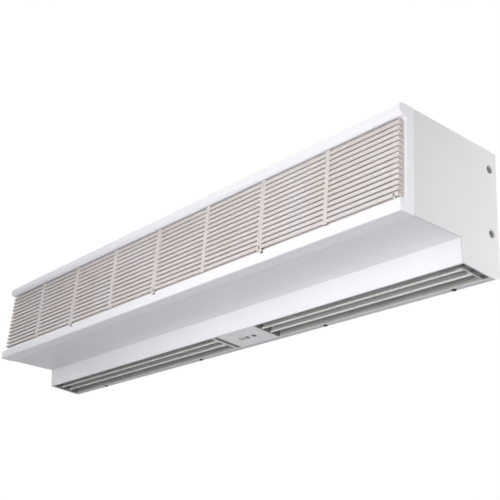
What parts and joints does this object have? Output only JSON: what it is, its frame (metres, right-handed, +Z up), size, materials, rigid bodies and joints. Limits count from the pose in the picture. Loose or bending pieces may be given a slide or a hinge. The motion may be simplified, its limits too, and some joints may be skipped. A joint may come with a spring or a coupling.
{
  "type": "air curtain",
  "caption": "Wall-mounted air curtain: stepped sheet-metal casing, tilting slatted intake grilles in a deep front bezel, cross-flow fans, and adjustable outlet louvres underneath.",
  "frame": {"origin": "centre of the wall plate's rear face, which lies against the wall", "axes": "+X to the right along the unit as seen from the room, +Y into the wall, +Z up; the intake grilles face -Y and the outlet faces -Z"},
  "size_m": [1.2, 0.221, 0.2125],
  "materials": {
    "galvanised": "satin",
    "white_paint": "satin",
    "grey_paint": "satin",
    "black_screw": "satin",
    "white_plastic": "satin",
    "grille_plastic": "matte",
    "dark_plastic": "matte",
    "bright_steel": "bright",
    "louvre_aluminium": "satin",
    "fan_aluminium": "satin",
    "black_rubber": "matte",
    "bronze": "satin",
    "laminated_steel": "dull",
    "motor_paint": "satin",
    "capacitor_case": "satin",
    "board_green": "satin",
    "cream_plastic": "matte",
    "control_plastic": "satin",
    "button_plastic": "satin",
    "window_plastic": "gloss"
  },
  "bodies": {
    "casing": {"wall_plate": "galvanised", "back_casing": "white_paint", "front_casing": "white_paint", "end_cover_left": "grey_paint", "end_cover_right": "grey_paint", "outlet_rear_rim": "white_paint", "end_cover_screws": "black_screw", "rim_screws": "black_screw", "bezel_top_rail": "white_plastic", "bezel_bottom_rail": "white_plastic", "bezel_post_left": "white_plastic", "bezel_post_right": "white_plastic", "grille_hinge_lugs": "white_plastic", "grille_hinge_pins": "bright_steel", "grille_catches": "dark_plastic", "scroll_left": "galvanised", "scroll_right": "galvanised", "tongue_left": "galvanised", "tongue_right": "galvanised", "duct_plate_left_outer": "galvanised", "duct_plate_left_inner": "galvanised", "duct_plate_right_inner": "galvanised", "duct_plate_right_outer": "galvanised", "louvre_brackets_left": "dark_plastic", "louvre_brackets_right": "dark_plastic", "end_bearings": "bronze", "bearing_rubbers": "black_rubber", "motor_stator": "laminated_steel", "motor_can": "motor_paint", "motor_end_bells": "motor_paint", "motor_rubber_rings": "black_rubber", "motor_cradle": "galvanised", "motor_straps": "galvanised", "capacitor": "capacitor_case", "capacitor_clip": "galvanised", "control_box": "dark_plastic", "circuit_board": "board_green", "terminal_block": "cream_plastic", "control_plate": "control_plastic", "receiver_window": "window_plastic", "cable_grommet": "black_rubber"},
    "fan_rotor": {"fan_left": "fan_aluminium", "fan_right": "fan_aluminium", "fan_end_shafts": "bright_steel", "fan_hubs": "black_rubber", "motor_shaft": "bright_steel", "motor_core": "laminated_steel"},
    "louvre_left_front": {"louvre_left_front": "louvre_aluminium"},
    "louvre_left_rear": {"louvre_left_rear": "louvre_aluminium"},
    "louvre_left_link": {"louvre_left_link": "white_plastic"},
    "louvre_right_front": {"louvre_right_front": "louvre_aluminium"},
    "louvre_right_rear": {"louvre_right_rear": "louvre_aluminium"},
    "louvre_right_link": {"louvre_right_link": "white_plastic"},
    "grille_1": {"intake_grille_1": "grille_plastic"},
    "grille_2": {"intake_grille_2": "grille_plastic"},
    "grille_3": {"intake_grille_3": "grille_plastic"},
    "grille_4": {"intake_grille_4": "grille_plastic"},
    "speed_button": {"speed_button": "button_plastic"},
    "power_button": {"power_button": "button_plastic"}
  },
  "joints": [
    {"name": "fan_spin", "type": "hinge", "parent": "casing", "child": "fan_rotor", "pos_m": [0.0739, -0.102, -0.008], "axis": [1, 0, 0], "continuous": true},
    {"name": "louvre_left_tilt", "type": "hinge", "parent": "casing", "child": "louvre_left_front", "pos_m": [-0.288, -0.06107, -0.11195], "axis": [1, 0, 0], "range_deg": [-10, 20]},
    {"name": "louvre_left_rear_tilt", "type": "hinge", "parent": "casing", "child": "louvre_left_rear", "pos_m": [-0.288, -0.04073, -0.11354], "axis": [1, 0, 0], "range_deg": [-10, 20]},
    {"name": "louvre_left_link_turn", "type": "hinge", "parent": "louvre_left_front", "child": "louvre_left_link", "pos_m": [0.009, -0.06398, -0.12564], "axis": [1, 0, 0], "range_deg": [-20, 10]},
    {"name": "louvre_right_tilt", "type": "hinge", "parent": "casing", "child": "louvre_right_front", "pos_m": [0.36, -0.06107, -0.11195], "axis": [1, 0, 0], "range_deg": [-10, 20]},
    {"name": "louvre_right_rear_tilt", "type": "hinge", "parent": "casing", "child": "louvre_right_rear", "pos_m": [0.36, -0.04073, -0.11354], "axis": [1, 0, 0], "range_deg": [-10, 20]},
    {"name": "louvre_right_link_turn", "type": "hinge", "parent": "louvre_right_front", "child": "louvre_right_link", "pos_m": [0.5815, -0.06398, -0.12564], "axis": [1, 0, 0], "range_deg": [-20, 10]},
    {"name": "grille_1_tilt", "type": "hinge", "parent": "casing", "child": "grille_1", "pos_m": [-0.44725, -0.21322, -0.067], "axis": [1, 0, 0], "range_deg": [0, 75]},
    {"name": "grille_2_tilt", "type": "hinge", "parent": "casing", "child": "grille_2", "pos_m": [-0.15, -0.21322, -0.067], "axis": [1, 0, 0], "range_deg": [0, 75]},
    {"name": "grille_3_tilt", "type": "hinge", "parent": "casing", "child": "grille_3", "pos_m": [0.15, -0.21322, -0.067], "axis": [1, 0, 0], "range_deg": [0, 75]},
    {"name": "grille_4_tilt", "type": "hinge", "parent": "casing", "child": "grille_4", "pos_m": [0.44725, -0.21322, -0.067], "axis": [1, 0, 0], "range_deg": [0, 75]},
    {"name": "speed_button_press", "type": "slide", "parent": "casing", "child": "speed_button", "axis": [0, 0.0779, 0.997], "range_m": [0, 0.0012], "stiffness_N_per_m": 400},
    {"name": "power_button_press", "type": "slide", "parent": "casing", "child": "power_button", "axis": [0, 0.0779, 0.997], "range_m": [0, 0.0012], "stiffness_N_per_m": 400}
  ],
  "couplings": [
    {"joint": "louvre_left_rear_tilt", "follows": "louvre_left_tilt", "ratio": 1},
    {"joint": "louvre_left_link_turn", "follows": "louvre_left_tilt", "ratio": -1},
    {"joint": "louvre_right_rear_tilt", "follows": "louvre_right_tilt", "ratio": 1},
    {"joint": "louvre_right_link_turn", "follows": "louvre_right_tilt", "ratio": -1}
  ]
}
